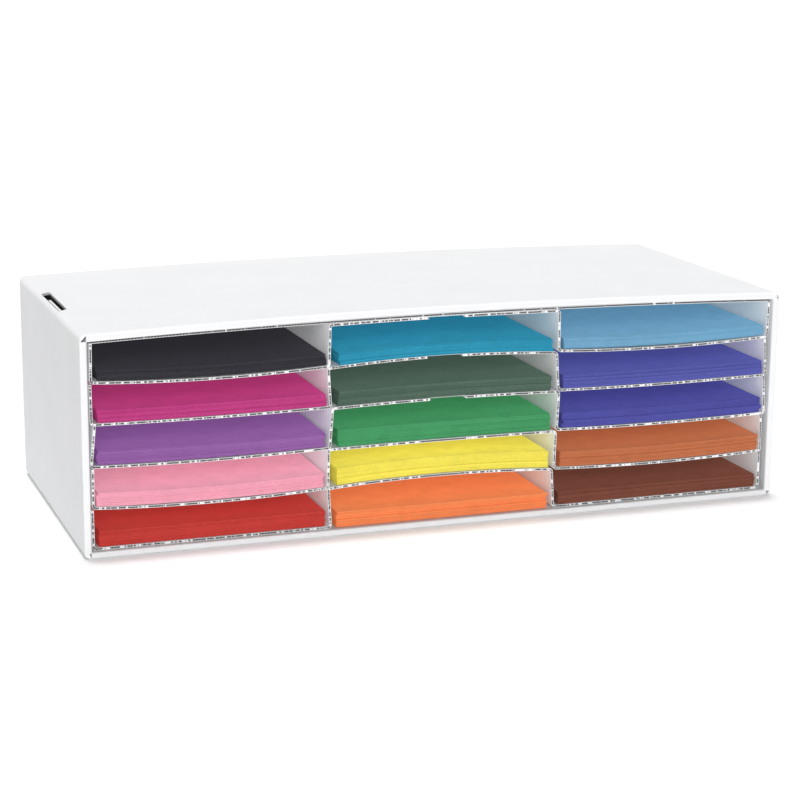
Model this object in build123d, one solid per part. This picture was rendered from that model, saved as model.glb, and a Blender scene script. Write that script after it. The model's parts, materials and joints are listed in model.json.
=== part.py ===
from build123d import *
import math
import os

# Paper sorter of folded corrugated board: three columns of five slots for 9 by 12 inch sheets.
# X runs along the width, the open front faces -Y, Z is up, and the origin is under the middle.
# Sizes are in millimetres.

# Sheets that the slots are made for
SHEET_WIDTH = 228.6
SHEET_LENGTH = 304.8

# Board and the way it is folded
BOARD = 2.5
PANEL_GAP = 2.3
BOTTOM_GAP = 1.3
FOLD_RADIUS = 1.4
EDGE_RADIUS = 6.0
RIM_ROUNDING = 1.8
SEAT_GAP = 0.2

# Slots
ROWS = 5
SIDE_SLOT_PLAY = 7.5
MIDDLE_SLOT_PLAY = 13.6
STRIP_HEIGHT = 42.2
WALL_GAP = 0.8
TOP_WALL_SHORT = 5.0
STRIP_DEPTH = SHEET_LENGTH + 13.2
FRONT_SETBACK = 4.0
BACK_PLAY = 2.7
SIDE_PLAY = 4.0
LINER_GAP = 0.3
FRONT_LIFT = 1.0

# Finger notch in the front edge of a middle panel
NOTCH_WIDTH = 38.5
NOTCH_DEPTH = 12.0

# Lock slot along the top left edge, and the tab that stands in it
LOCK_START = 122.0
LOCK_LENGTH = 98.0
LOCK_INSET = 4.0
LOCK_WIDTH = 9.4
LOCK_SLANT = 8.0
TAB_LENGTH = 66.0
TAB_INSET = 5.6
TAB_DROP = 0.8
TAB_SLANT = 5.0

# Back: one panel hinged at the top fold, with a dust flap behind each side
BACK_SLIT = 0.5
DUST_FLAP_WIDTH = 90.0
DUST_FLAP_GAP = 0.3

# Gap where two rims meet at each corner of the front: how far it starts from the inner corner
# along X and Z, and its width and height
CORNER_GAPS = {
    "top_left": (0.0, 0.0, 5.6, 5.8),
    "top_right": (3.8, 0.0, 1.8, 4.8),
    "low_right": (1.6, 0.8, 4.0, 4.2),
    "low_left": (0.0, 0.4, 1.8, 4.4),
}
CORNER_GAP_DEPTH = 12.0

# Each strip from the top: how much taller it stands than the others, how far the feet of its four
# walls stand right of even, how far their tops lean right of the feet, and how far its left floor,
# middle ceiling and right floor rise above straight
STRIPS = [
    {"extra": 1.8, "feet": (0.6, -0.4, 0.9, 1.0), "lean": (0.6, 1.2, -0.2, 0.6), "rise": (-3.8, 1.2, -3.8)},
    {"extra": -0.3, "feet": (0.3, 1.2, 1.2, 1.2), "lean": (-0.4, -2.4, -2.6, -2.4), "rise": (-1.2, 4.6, -1.5)},
    {"extra": 0.4, "feet": (-0.8, 0.3, 0.3, 1.4), "lean": (4.0, 3.0, 1.8, -1.8), "rise": (-2.2, 2.0, -1.8)},
    {"extra": -0.5, "feet": (0.2, -1.6, -1.6, -1.2), "lean": (0.3, 0.8, 1.0, -0.6), "rise": (-3.8, 0.8, -3.2)},
    {"extra": 0.4, "feet": (-0.5, 1.2, -1.8, -2.0), "lean": (-0.4, -2.4, -2.4, 0.0), "rise": (0.0, 4.5, 0.0)},
]
NOTCHED_IN_FRONT = 3

# Paper in each slot from the top down: thickness, place along X from the column's middle, how far
# the front stands behind the strip's edge, and the number of bundles that slipped apart
PAPER = {
    "left": [
        (10.5, 1.4, 5.0, 3),
        (12.2, 1.4, 1.6, 3),
        (13.4, 0.6, 5.5, 4),
        (13.3, -1.0, 4.0, 4),
        (15.2, 0.3, 3.2, 4),
    ],
    "middle": [
        (12.4, 1.5, 2.2, 3),
        (15.0, 1.8, 3.0, 4),
        (17.7, 1.3, 3.5, 5),
        (17.0, 0.2, 3.0, 5),
        (16.2, -0.3, 3.0, 4),
    ],
    "right": [
        (11.1, 2.2, 3.4, 3),
        (14.0, 1.4, 2.0, 4),
        (15.3, 1.8, 2.4, 4),
        (16.2, 0.2, 3.0, 4),
        (13.2, -0.6, 3.0, 4),
    ],
}
PAPER_SAG = 0.45
PAPER_GAP = 0.35
SLIP_ACROSS = 1.6
SLIP_ALONG = 1.2
SLIP_TURN = 2.4

# Sizes that follow
RIM = 2 * BOARD + PANEL_GAP
RIM_BOTTOM = 2 * BOARD + BOTTOM_GAP
FOLD_OUTSIDE = FOLD_RADIUS + BOARD
SIDE_PITCH = SHEET_WIDTH + SIDE_SLOT_PLAY + BOARD
MIDDLE_PITCH = SHEET_WIDTH + MIDDLE_SLOT_PLAY + BOARD
STRIP_WIDTH = 2 * SIDE_PITCH + MIDDLE_PITCH + BOARD
WIDTH = STRIP_WIDTH + SIDE_PLAY + 2 * RIM
DEPTH = FRONT_SETBACK + STRIP_DEPTH + BACK_PLAY + 2 * BOARD + DUST_FLAP_GAP
FRONT = -DEPTH / 2
BACK = DEPTH / 2
STRIP_FRONT = FRONT + FRONT_SETBACK
STRIP_BACK = STRIP_FRONT + STRIP_DEPTH


def wall_places(row):
    """X of the centre of the four walls of a strip at their feet; rows are counted from 0 at the top."""
    near = MIDDLE_PITCH / 2
    far = near + SIDE_PITCH
    return [even + foot for even, foot in zip((-far, -near, near, far), STRIPS[row]["feet"])]


def wall_tops(row):
    """X of the centre of the four walls of a strip at the height of its ceiling."""
    return [foot + lean for foot, lean in zip(wall_places(row), STRIPS[row]["lean"])]


def seat_drop(row):
    """How far a strip's feet sink below the crown of the next strip before their round folds touch."""
    reach = 2 * FOLD_OUTSIDE + SEAT_GAP
    drops = []
    for wall, floor, side in ((1, 0, 1), (2, 2, -1)):
        slope = 4 * STRIPS[row + 1]["rise"][1] / MIDDLE_PITCH - 4 * STRIPS[row]["rise"][floor] / SIDE_PITCH
        aside = side * (wall_tops(row + 1)[wall] - wall_places(row)[wall])
        across = min(max(aside + 2 * FOLD_OUTSIDE - BOARD, 0.0), reach)
        drops.append(2 * FOLD_OUTSIDE - math.sqrt(reach**2 - across**2) - FOLD_OUTSIDE * slope)
    return min(*drops, BOARD)


def strip_height(row):
    """Height of a strip from the underside of its floors to the top of its ceiling at the folds."""
    return STRIP_HEIGHT + STRIPS[row]["extra"]


def strip_bottom(row):
    """Z of the underside of the strip in a row."""
    if row == ROWS - 1:
        return RIM_BOTTOM + SEAT_GAP
    return strip_bottom(row + 1) + strip_height(row + 1) - seat_drop(row)


def wall_end(row):
    """Z at which the two outer walls of a strip end."""
    if row == 0:
        return strip_bottom(0) + strip_height(0) - TOP_WALL_SHORT
    return strip_bottom(row - 1) - WALL_GAP


# Heights that follow
LINER_SIDE = wall_end(0) + SEAT_GAP
LINER_MIDDLE = strip_bottom(0) + strip_height(0) + STRIPS[0]["rise"][1] + SEAT_GAP
HEIGHT = LINER_SIDE + BOARD + LINER_GAP + RIM
TOP_BOW_BACK = LINER_MIDDLE + BOARD + SEAT_GAP - (HEIGHT - RIM)
TOP_BOW_FRONT = TOP_BOW_BACK + FRONT_LIFT


def upright(y):
    """Plane across the object at depth y, with its own x along X and its own y along Z."""
    return Plane(origin=(0, y, 0), x_dir=(1, 0, 0), z_dir=(0, -1, 0))


def pull_back(face, y, length):
    """Solid from a face drawn in X and Z, starting at depth y and running back."""
    return extrude(upright(y) * face, amount=-length)


class Arch:
    """Shallow arc between two fold lines of equal height; a positive rise bows up, zero is flat."""

    def __init__(self, start, end, level, rise):
        self.start = start
        self.end = end
        self.level = level
        self.rise = rise
        self.middle = (start + end) / 2
        self.side = math.copysign(1.0, rise)
        half = (end - start) / 2
        self.radius = (half**2 + rise**2) / (2 * abs(rise)) if rise else math.inf

    def height(self, x, above=0.0):
        """Z at x of the line that runs the given distance above the arc."""
        if not self.rise:
            return self.level + above
        radius = self.radius + self.side * above
        centre = self.level + self.rise - self.side * self.radius
        return centre + self.side * math.sqrt(radius**2 - (x - self.middle) ** 2)

    def edge(self, start, end, above=0.0):
        """Edge from start to end along X, the given distance above the arc."""
        first = (start, self.height(start, above))
        last = (end, self.height(end, above))
        if not self.rise:
            return Line(first, last)
        between = (start + end) / 2
        return ThreePointArc(first, (between, self.height(between, above)), last)


def slab(arch, start, end, low, high):
    """Face between two lines that run low and high above an arch."""
    bottom = arch.edge(start, end, low)
    top = arch.edge(start, end, high)
    left = Line(bottom @ 0, top @ 0)
    right = Line(bottom @ 1, top @ 1)
    return make_face(Wire([bottom, right, top, left]))


def floor_arch(row, column):
    """Centre line of the floor of a strip in the left or right column."""
    feet = wall_places(row)
    start, end, rise = (feet[0], feet[1], 0) if column == "left" else (feet[2], feet[3], 2)
    return Arch(start, end, strip_bottom(row) + BOARD / 2, STRIPS[row]["rise"][rise])


def ceiling_arch(row):
    """Centre line of the ceiling of a strip, which spans the middle column."""
    tops = wall_tops(row)
    level = strip_bottom(row) + strip_height(row) - BOARD / 2
    return Arch(tops[1], tops[2], level, STRIPS[row]["rise"][1])


def shelf_arch(row, column):
    """Centre line of what the paper in a slot lies on."""
    if column != "middle":
        return floor_arch(row, column)
    if row < ROWS - 1:
        return ceiling_arch(row + 1)
    feet = wall_places(row)
    return Arch(feet[1], feet[2], RIM_BOTTOM - BOARD / 2, 0.0)


def paper_arch(row, column):
    """Line that the paper in a slot follows: stiffer than a sagging floor, so it bridges some of the sag."""
    shelf = shelf_arch(row, column)
    share = PAPER_SAG if shelf.rise < 0 else 1.0
    return Arch(shelf.start, shelf.end, shelf.level, shelf.rise * share)


def strip_line(row):
    """Centre line of a strip: wall, floor, wall, ceiling, wall, floor, wall."""
    feet = wall_places(row)
    tops = wall_tops(row)
    low = strip_bottom(row) + BOARD / 2
    high = strip_bottom(row) + strip_height(row) - BOARD / 2
    free = wall_end(row)
    left_floor = floor_arch(row, "left").edge(feet[0], feet[1])
    ceiling = ceiling_arch(row).edge(tops[1], tops[2])
    right_floor = floor_arch(row, "right").edge(feet[2], feet[3])
    walls = [
        Line((tops[0], free), (feet[0], low)),
        Line((feet[1], low), (tops[1], high)),
        Line((tops[2], high), (feet[2], low)),
        Line((feet[3], low), (tops[3], free)),
    ]
    line = Wire([walls[0], left_floor, walls[1], ceiling, walls[2], right_floor, walls[3]])
    ends = (line @ 0, line @ 1)
    folds = [fold for fold in line.vertices() if min(fold.distance_to(end) for end in ends) > BOARD]
    return line.fillet_2d(FOLD_RADIUS + BOARD / 2, folds)


def shelf_strip(row):
    """One strip of board, folded into a square wave, with the notch for fingers."""
    section = make_face(offset(strip_line(row), amount=BOARD / 2, side=Side.BOTH))
    tops = wall_tops(row)
    for free_end in (tops[0], tops[3]):
        section -= Pos(free_end, wall_end(row) + BOARD) * Rectangle(4 * BOARD, 2 * BOARD)
    strip = pull_back(section, STRIP_FRONT, STRIP_DEPTH)
    ceiling = ceiling_arch(row)
    edge = STRIP_FRONT if row < NOTCHED_IN_FRONT else STRIP_BACK
    notch = Box(NOTCH_WIDTH, 2 * NOTCH_DEPTH, STRIP_HEIGHT)
    return strip - Pos(ceiling.middle, edge, ceiling.level) * notch


def top_liner():
    """Flat sheet over the top strip, bowed up where the strip's ceiling lifts it."""
    half = (WIDTH / 2) - RIM - SIDE_PLAY / 2
    arch = Arch(-half, half, LINER_SIDE, LINER_MIDDLE - LINER_SIDE)
    return pull_back(slab(arch, -half, half, 0.0, BOARD), STRIP_FRONT, STRIP_DEPTH)


def top_bow(y):
    """How far the middle of the top stands above its sides at depth y."""
    share = (y - FRONT) / DEPTH
    return TOP_BOW_FRONT + (TOP_BOW_BACK - TOP_BOW_FRONT) * share


def shell_outline(inset, low, y):
    """Face across the cabinet at depth y, inset from the outside with its underside low above the ground."""
    half = WIDTH / 2 - inset
    high = HEIGHT - inset
    top = Arch(-half, half, high, top_bow(y)).edge(-half, half)
    left = Line((-half, high), (-half, low))
    bottom = Line((-half, low), (half, low))
    right = Line((half, low), (half, high))
    face = make_face(Wire([top, right, bottom, left]))
    rounding = max(EDGE_RADIUS - inset, BOARD / 4)
    return upright(y) * fillet(face.vertices(), rounding)


def shell_block(inset, low, start, end):
    """Solid that fills the cabinet's outline, inset from the outside, between two depths."""
    return loft([shell_outline(inset, low, start), shell_outline(inset, low, end)], ruled=True)


def corner_gap(name):
    """Cut where two rims meet at a corner of the front."""
    aside, apart, width, height = CORNER_GAPS[name]
    across = -1 if name.endswith("left") else 1
    upward = 1 if name.startswith("top") else -1
    inner_x = across * (WIDTH / 2 - RIM + BOARD / 4 + aside)
    inner_z = (HEIGHT - RIM if upward > 0 else RIM_BOTTOM) + upward * (BOARD / 4 + apart)
    corner = (inner_x, inner_z)
    beside = (inner_x + across * width, inner_z)
    beyond = (inner_x, inner_z + upward * height)
    outline = make_face(Polyline(corner, beside, beyond, close=True))
    return pull_back(outline, FRONT - BOARD, BOARD + CORNER_GAP_DEPTH)


def lock_slot():
    """Slot through both top panels beside the left fold."""
    near = -WIDTH / 2 + LOCK_INSET
    far = near + LOCK_WIDTH
    start = FRONT + LOCK_START
    end = start + LOCK_LENGTH
    corners = [(near, start), (far, start + LOCK_SLANT), (far, end + LOCK_SLANT), (near, end)]
    outline = Polyline(*corners, close=True)
    return extrude(Pos(0, 0, HEIGHT - RIM - BOARD / 2) * make_face(outline), amount=2 * RIM)


def lock_tab():
    """Tab that rises from the panel rolled inside the left wall and stands in the lock slot."""
    near = -WIDTH / 2 + TAB_INSET
    start = FRONT + LOCK_START + TAB_INSET
    end = start + TAB_LENGTH
    foot = HEIGHT - RIM - BOARD
    high = HEIGHT - TAB_DROP
    outline = Polyline((start, foot), (end, foot), (end - TAB_SLANT, high), (start, high), close=True)
    side = Plane(origin=(near, 0, 0), x_dir=(0, 1, 0), z_dir=(1, 0, 0))
    return extrude(side * make_face(outline), amount=BOARD)


def back_slits():
    """Slits round three sides of the back panel, which leave it hinged at the top fold."""
    inside = shell_block(BOARD, BOARD, BACK - BOARD - BACK_SLIT, BACK + BOARD)
    panel = shell_block(BOARD + BACK_SLIT, BOARD + BACK_SLIT, BACK - BOARD - BACK_SLIT, BACK + BOARD)
    below = Pos(0, BACK, HEIGHT / 2 - EDGE_RADIUS) * Box(2 * WIDTH, 4 * BOARD, HEIGHT)
    return (inside - panel) & below


def dust_flap(across):
    """Flap folded in from one side, just inside the back panel."""
    outer = WIDTH / 2 - RIM + BOARD / 2
    inner = outer - DUST_FLAP_WIDTH
    low = RIM_BOTTOM + LINER_GAP
    high = HEIGHT - RIM - LINER_GAP
    taper = DUST_FLAP_WIDTH / 6
    corners = [(outer, low), (inner, low + taper), (inner, high - taper), (outer, high)]
    outline = Polyline(*[(across * x, z) for x, z in corners], close=True)
    return pull_back(make_face(outline), BACK - 2 * BOARD - DUST_FLAP_GAP, BOARD)


def outer_shell():
    """Wrap of one sheet: walls rolled over at the front, and closed at the back."""
    inner_end = BACK - BOARD
    shell = shell_block(0.0, 0.0, FRONT, BACK)
    front_face = shell.faces().sort_by(Axis.Y)[0]
    shell = fillet(front_face.edges(), RIM_ROUNDING)
    shell -= shell_block(RIM, RIM_BOTTOM, FRONT - BOARD, inner_end)
    front_face = shell.faces().sort_by(Axis.Y)[0]
    shell = fillet(front_face.inner_wires()[0].edges(), RIM_ROUNDING)
    between = shell_block(BOARD, BOARD, FRONT + BOARD, inner_end)
    shell -= between - shell_block(BOARD + PANEL_GAP, BOARD + BOTTOM_GAP, FRONT, BACK)
    shell -= lock_slot()
    shell += lock_tab()
    shell -= back_slits()
    for name in CORNER_GAPS:
        shell -= corner_gap(name)
    shell += dust_flap(-1)
    shell += dust_flap(1)
    return shell


def paper_middle(row, column):
    """X of the middle of the paper in a slot."""
    side = {"left": -1, "middle": 0, "right": 1}[column]
    return side * (MIDDLE_PITCH + SIDE_PITCH) / 2 + PAPER[column][row][1]


def paper_stack(row, column):
    """Stack of loose sheets: bundles that follow the shelf, each slipped a little."""
    line = paper_arch(row, column)
    thickness, aside, setback, bundles = PAPER[column][row]
    lowest = BOARD / 2 + PAPER_GAP
    left = paper_middle(row, column) - SHEET_WIDTH / 2
    stack = None
    for bundle in range(bundles):
        turn = SLIP_TURN * (bundle + row) + aside
        across = SLIP_ACROSS * math.sin(turn) if bundle else 0.0
        along = SLIP_ALONG * math.cos(turn)
        low = lowest + thickness * bundle / bundles
        high = lowest + thickness * (bundle + 1) / bundles
        face = slab(line, left + across, left + across + SHEET_WIDTH, low, high)
        sheets = pull_back(face, STRIP_FRONT + setback + along, SHEET_LENGTH)
        stack = sheets if stack is None else stack + sheets
    return stack


def pieces():
    """Every piece of the sorter by name."""
    found = {"outer_shell": outer_shell(), "top_liner": top_liner()}
    for row in range(ROWS):
        found[f"shelf_strip_{row + 1}"] = shelf_strip(row)
    for column in PAPER:
        for row in range(ROWS):
            found[f"paper_stack_{column}_{row + 1}"] = paper_stack(row, column)
    return found


def main():
    os.makedirs("parts", exist_ok=True)
    for name, solid in pieces().items():
        export_step(solid, f"parts/{name}.step")
        print(name, "solids", len(solid.solids()), "volume", round(solid.volume))


if __name__ == "__main__":
    main()
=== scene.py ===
"""Looks of the paper sorter: fluted board, loose sheets and a photographer's table."""

import json
import math

import bpy
from mathutils import Matrix, Vector

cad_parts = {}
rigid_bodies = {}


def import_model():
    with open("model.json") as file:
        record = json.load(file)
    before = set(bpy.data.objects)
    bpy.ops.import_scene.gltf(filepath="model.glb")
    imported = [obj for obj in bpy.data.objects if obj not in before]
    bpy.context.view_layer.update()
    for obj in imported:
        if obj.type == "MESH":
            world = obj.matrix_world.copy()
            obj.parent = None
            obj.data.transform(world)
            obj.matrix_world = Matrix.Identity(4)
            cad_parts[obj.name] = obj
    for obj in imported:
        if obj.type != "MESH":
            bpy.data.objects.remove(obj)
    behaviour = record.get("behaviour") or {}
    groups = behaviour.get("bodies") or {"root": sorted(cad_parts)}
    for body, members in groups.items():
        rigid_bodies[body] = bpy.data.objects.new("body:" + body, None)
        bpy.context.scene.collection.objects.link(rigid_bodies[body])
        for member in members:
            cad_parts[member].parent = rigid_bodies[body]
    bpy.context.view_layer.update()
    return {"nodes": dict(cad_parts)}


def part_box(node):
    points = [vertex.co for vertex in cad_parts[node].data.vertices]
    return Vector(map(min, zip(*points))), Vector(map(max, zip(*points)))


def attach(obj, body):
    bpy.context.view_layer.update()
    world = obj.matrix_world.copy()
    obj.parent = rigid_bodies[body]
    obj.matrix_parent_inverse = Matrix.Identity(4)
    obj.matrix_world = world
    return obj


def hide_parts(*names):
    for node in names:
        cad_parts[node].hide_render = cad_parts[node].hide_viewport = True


bl_info = {
    "name": "Paper Sorter",
    "version": (1, 0, 0),
    "blender": (4, 5, 0),
    "location": "3D View > Sidebar > Paper Sorter",
    "description": "Builds a fifteen-slot paper sorter of folded corrugated board, with its paper",
    "category": "Object",
}

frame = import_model()

# Sizes shared with the CAD model, in metres
MM = 0.001
SHEET_WIDTH = 228.6 * MM
SHEET_LENGTH = 304.8 * MM
BOARD = 2.5 * MM
FOLD_RADIUS = 1.4 * MM
SEAT_GAP = 0.2 * MM
ROWS = 5
SIDE_PITCH = SHEET_WIDTH + 7.5 * MM + BOARD
MIDDLE_PITCH = SHEET_WIDTH + 13.6 * MM + BOARD
STRIP_HEIGHT = 42.2 * MM
WALL_GAP = 0.8 * MM
TOP_WALL_SHORT = 5.0 * MM
STRIP_DEPTH = SHEET_LENGTH + 13.2 * MM
RIM_BOTTOM = 2 * BOARD + 1.3 * MM
FOLD_OUTSIDE = FOLD_RADIUS + BOARD
NOTCH_WIDTH = 38.5 * MM
NOTCH_DEPTH = 12.0 * MM
NOTCHED_IN_FRONT = 3
PAPER_GAP = 0.35 * MM
PAPER_SAG = 0.75

# Place of the strips from front to back, read from the frame
STRIP_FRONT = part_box("shelf_strip_1")[0].y
STRIP_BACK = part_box("shelf_strip_1")[1].y

# Each strip from the top, in millimetres: how much taller it stands than the others, how far the
# feet of its four walls stand right of even, how far their tops lean right of the feet, and how far
# its left floor, middle ceiling and right floor rise above straight
STRIPS = [
    {
        "extra": 1.8,
        "feet": (0.6, -0.4, 0.9, 1.0),
        "lean": (0.6, 1.2, -0.2, 0.6),
        "rise": (-3.8, 1.2, -3.8),
    },
    {
        "extra": -0.3,
        "feet": (0.3, 1.2, 1.2, 1.2),
        "lean": (-0.4, -2.4, -2.6, -2.4),
        "rise": (-1.2, 4.6, -1.5),
    },
    {
        "extra": 0.4,
        "feet": (-0.8, 0.3, 0.3, 1.4),
        "lean": (4.0, 3.0, 1.8, -1.8),
        "rise": (-2.2, 2.0, -1.8),
    },
    {
        "extra": -0.5,
        "feet": (0.2, -1.6, -1.6, -1.2),
        "lean": (0.3, 0.8, 1.0, -0.6),
        "rise": (-3.8, 0.8, -3.2),
    },
    {
        "extra": 0.4,
        "feet": (-0.5, 1.2, -1.8, -2.0),
        "lean": (-0.4, -2.4, -2.4, 0.0),
        "rise": (0.0, 4.5, 0.0),
    },
]

# Paper from the top slot down, in millimetres: finish, thickness, place beside the column's middle,
# front behind the strip's edge, number of bundles, and how far the top sheet stands right of the lowest
PAPER = {
    "left": [
        ("black_paper", 10.5, 1.4, 5.0, 3, 0.0),
        ("magenta_paper", 12.2, 1.4, 1.6, 3, -0.6),
        ("purple_paper", 13.4, 0.6, 5.5, 4, 0.4),
        ("pink_paper", 13.3, -1.0, 4.0, 4, 0.3),
        ("red_paper", 15.2, 0.3, 3.2, 4, -0.5),
    ],
    "middle": [
        ("turquoise_paper", 12.4, 1.5, 2.2, 3, -2.0),
        ("dark_green_paper", 15.0, 1.8, 3.0, 4, 0.6),
        ("green_paper", 17.7, 1.3, 3.5, 5, -1.8),
        ("yellow_paper", 17.0, 0.2, 3.0, 5, 0.8),
        ("orange_paper", 16.2, -0.3, 3.0, 4, 0.4),
    ],
    "right": [
        ("light_blue_paper", 11.1, 2.2, 3.4, 3, -0.4),
        ("violet_paper", 14.0, 1.4, 2.0, 4, 0.3),
        ("indigo_paper", 15.3, 1.8, 2.4, 4, -0.3),
        ("rust_paper", 16.2, 0.2, 3.0, 4, 0.6),
        ("brown_paper", 13.2, -0.6, 3.0, 4, 0.8),
    ],
}

# Stacks whose two top sheets stand off the rest
LIFTED = {"purple_paper", "turquoise_paper", "green_paper", "yellow_paper", "light_blue_paper"}


def from_display(red, green, blue):
    """Scene-linear colour from the 0 to 255 values of a screen."""
    shares = (red / 255, green / 255, blue / 255)
    return tuple(s / 12.92 if s <= 0.04045 else ((s + 0.055) / 1.055) ** 2.4 for s in shares)


PAPER_COLOURS = {
    "black_paper": from_display(54, 54, 61),
    "magenta_paper": from_display(187, 64, 130),
    "purple_paper": from_display(151, 101, 167),
    "pink_paper": from_display(232, 166, 184),
    "red_paper": from_display(194, 63, 57),
    "turquoise_paper": from_display(46, 147, 176),
    "dark_green_paper": from_display(86, 109, 96),
    "green_paper": from_display(73, 155, 102),
    "yellow_paper": from_display(232, 220, 93),
    "orange_paper": from_display(235, 140, 87),
    "light_blue_paper": from_display(118, 168, 197),
    "violet_paper": from_display(90, 94, 170),
    "indigo_paper": from_display(84, 84, 164),
    "rust_paper": from_display(191, 116, 77),
    "brown_paper": from_display(125, 74, 59),
}

# Waved sheet in the board: how deep its flutes bite into the liners, and how far their rhythm wanders
FLUTE_BITE = 0.02 * MM
FLUTE_WANDER = 9.0
FLUTE_WANDER_SCALE = 40.0

# Crushed stretches of an edge: how much thinner they are than the board, how small the noise that
# places them is, its level above which an edge is crushed, and how far full crush lowers that level
LIP_THINNER = 0.12 * MM
CRUSH_SCALE = 230.0
CRUSH_LEVEL = 0.62
CRUSH_REACH = 0.24

# Straight runs that stand for an arc
FOLD_PARTS = 6
SHELF_PARTS = 16
LINER_PARTS = 32
PAPER_PARTS = 12

# Top of the shell at its sides, below the crown of its bow
SHELL_BOW = 7.1 * MM
SHELL_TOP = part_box("outer_shell")[1].z - SHELL_BOW

# Block round the inside of the lock slot by the top left fold, from under the top sheet of board
# down, and the colour of the shade painted in it: the photograph shows the slot nearly black
LOCK_LOW = (-370.0 * MM, -45.0 * MM, SHELL_TOP - 16.0 * MM)
LOCK_HIGH = (-352.0 * MM, 68.0 * MM, SHELL_TOP - 2.6 * MM)
LOCK_PAINTED_SHADE = (0.035, 0.028, 0.024)

# Depth behind a cut edge from which shade is painted on the flutes, where little light gets in, and the
# share of their colour that the painted shade leaves
FLUTE_LIT_DEPTH = 0.4 * MM
FLUTE_SHADE_SHARE = 0.25

# Camera: place, direction and framing found by fitting the photograph
CAMERA_PLACE = (-0.7428, -2.105, 0.627)
CAMERA_AZIMUTH = math.radians(18.80)
CAMERA_TILT = math.radians(13.06)
CAMERA_ROLL = math.radians(0.26)
IMAGE_SIDE = 800
FOCAL_PIXELS = 2126
OPTICAL_CENTRE = (370, 386)
SENSOR = 36.0

# Directions of the lights: front light round to the left, top light tipped back, left light lifted
# above the floor and brought forward
KEY_SIDE = math.radians(13)
OVERHEAD_BACK = math.radians(4)
LEFT_LIFT = math.radians(12)
LEFT_FORWARD = 0.35

# Breadth of each light, seen from the sorter
KEY_BREADTH = math.radians(40)
OVERHEAD_BREADTH = math.radians(10)
SLOT_BREADTH = math.radians(30)
LIGHT_DISTANCE = 3.0

# Floor and backdrop, in metres, and the faint glow that keeps them white
FLOOR_HALF_WIDTH = 9.0
FLOOR_FRONT = -9.0
BACKDROP_PLACE = 7.0
BACKDROP_HEIGHT = 6.0
BACKDROP_RADIUS = 2.0
BACKDROP_PARTS = 12
FLOOR_GLOW = 0.02


class BoardSettings(bpy.types.PropertyGroup):
    """Sizes and colours of the corrugated board."""

    liner: bpy.props.FloatProperty(
        name="Liner thickness", description="Thickness of each outer sheet of the board",
        default=0.4 * MM, min=0.1 * MM, max=1.2 * MM, precision=5, subtype="DISTANCE", unit="LENGTH",
    )
    medium: bpy.props.FloatProperty(
        name="Flute thickness", description="Thickness of the waved sheet inside the board",
        default=0.35 * MM, min=0.1 * MM, max=1.0 * MM, precision=5, subtype="DISTANCE", unit="LENGTH",
    )
    flute_pitch: bpy.props.FloatProperty(
        name="Flute pitch", description="Distance from one flute to the next",
        default=3.1 * MM, min=1.0 * MM, max=10.0 * MM, precision=5, subtype="DISTANCE", unit="LENGTH",
    )
    crush: bpy.props.FloatProperty(
        name="Crush", description="How much of the cut edges is crushed",
        default=0.35, min=0.0, max=1.0, subtype="FACTOR",
    )
    lip: bpy.props.FloatProperty(
        name="Lip", description="How far the crushed parts of an edge stand out at front and back together",
        default=0.3 * MM, min=0.0, max=1.0 * MM, precision=5, subtype="DISTANCE", unit="LENGTH",
    )
    white: bpy.props.FloatVectorProperty(
        name="Liner colour", description="Colour of the white outer sheets",
        default=(0.81, 0.815, 0.825), size=3, min=0.0, max=1.0, subtype="COLOR",
    )
    flute_colour: bpy.props.FloatVectorProperty(
        name="Flute colour", description="Colour of the waved sheet inside the board",
        default=(0.78, 0.77, 0.75), size=3, min=0.0, max=1.0, subtype="COLOR",
    )


class PaperSettings(bpy.types.PropertyGroup):
    """Sizes of the sheets, and the colour in each slot."""

    sheet: bpy.props.FloatProperty(
        name="Sheet thickness", description="Thickness of one sheet of construction paper",
        default=0.2 * MM, min=0.05 * MM, max=1.0 * MM, precision=5, subtype="DISTANCE", unit="LENGTH",
    )
    spacing: bpy.props.FloatProperty(
        name="Sheet spacing", description="Distance from one sheet to the next in a stack",
        default=0.23 * MM, min=0.06 * MM, max=1.2 * MM, precision=5, subtype="DISTANCE", unit="LENGTH",
    )
    scatter: bpy.props.FloatProperty(
        name="Scatter", description="How far single sheets stand out of line",
        default=0.3 * MM, min=0.0, max=3.0 * MM, precision=5, subtype="DISTANCE", unit="LENGTH",
    )
    slip: bpy.props.FloatProperty(
        name="Slip", description="How far bundles of sheets have slipped apart at most",
        default=1.5 * MM, min=0.0, max=3.0 * MM, precision=5, subtype="DISTANCE", unit="LENGTH",
    )
    gap: bpy.props.FloatProperty(
        name="Top gap", description="Air under the two top sheets where they stand off the rest",
        default=0.4 * MM, min=0.0, max=1.0 * MM, precision=5, subtype="DISTANCE", unit="LENGTH",
    )
    turn: bpy.props.FloatProperty(
        name="Turn", description="How far single sheets are turned",
        default=math.radians(0.12), min=0.0, max=math.radians(2.0), subtype="ANGLE", unit="ROTATION",
    )


for paper_name, paper_colour in PAPER_COLOURS.items():
    PaperSettings.__annotations__[paper_name] = bpy.props.FloatVectorProperty(
        name=paper_name.replace("_", " ").capitalize(), description="Colour of the sheets in this slot",
        default=paper_colour, size=3, min=0.0, max=1.0, subtype="COLOR",
    )


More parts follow.
